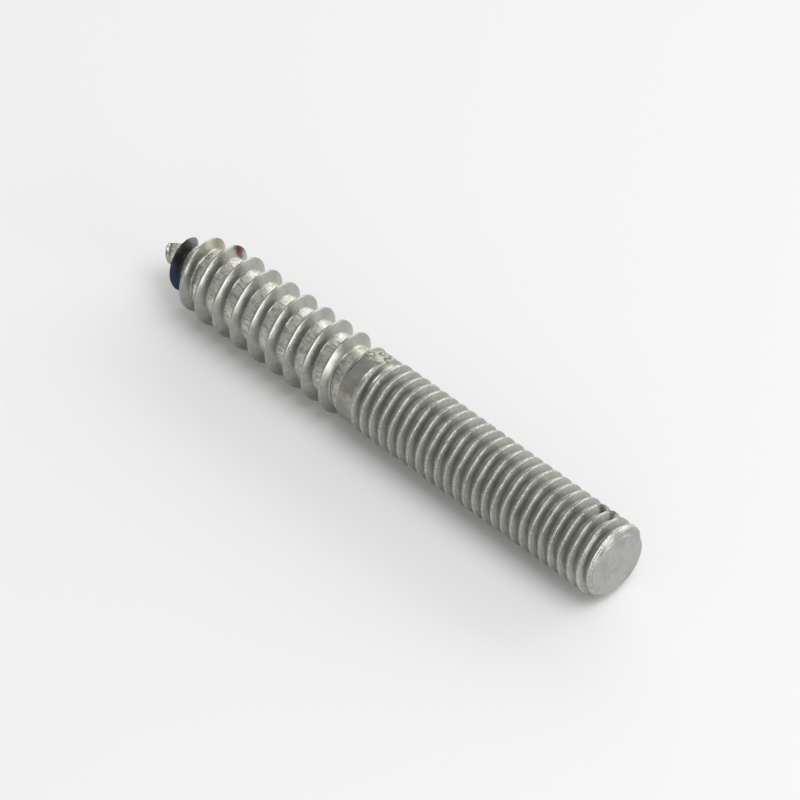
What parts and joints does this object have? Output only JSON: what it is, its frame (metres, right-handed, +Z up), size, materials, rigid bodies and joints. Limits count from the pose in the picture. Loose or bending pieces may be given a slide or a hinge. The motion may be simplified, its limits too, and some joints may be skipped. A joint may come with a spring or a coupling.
{
  "type": "hanger bolt",
  "caption": "Headless steel hanger bolt: a coarse wood-screw thread with a gimlet point on one half and a machine-thread stud on the other, for hanging things from timber.",
  "frame": {"origin": "on the bolt's axis where the bare band meets the machine thread", "axes": "+X along the bolt's axis towards the stud's flat end, +Z up as the bolt lies"},
  "size_m": [0.061, 0.0084, 0.0084],
  "materials": {
    "steel": "bare rolled steel, satin, with rough thread roots"
  },
  "bodies": {
    "root": {"hanger_bolt": "steel"}
  },
  "joints": []
}
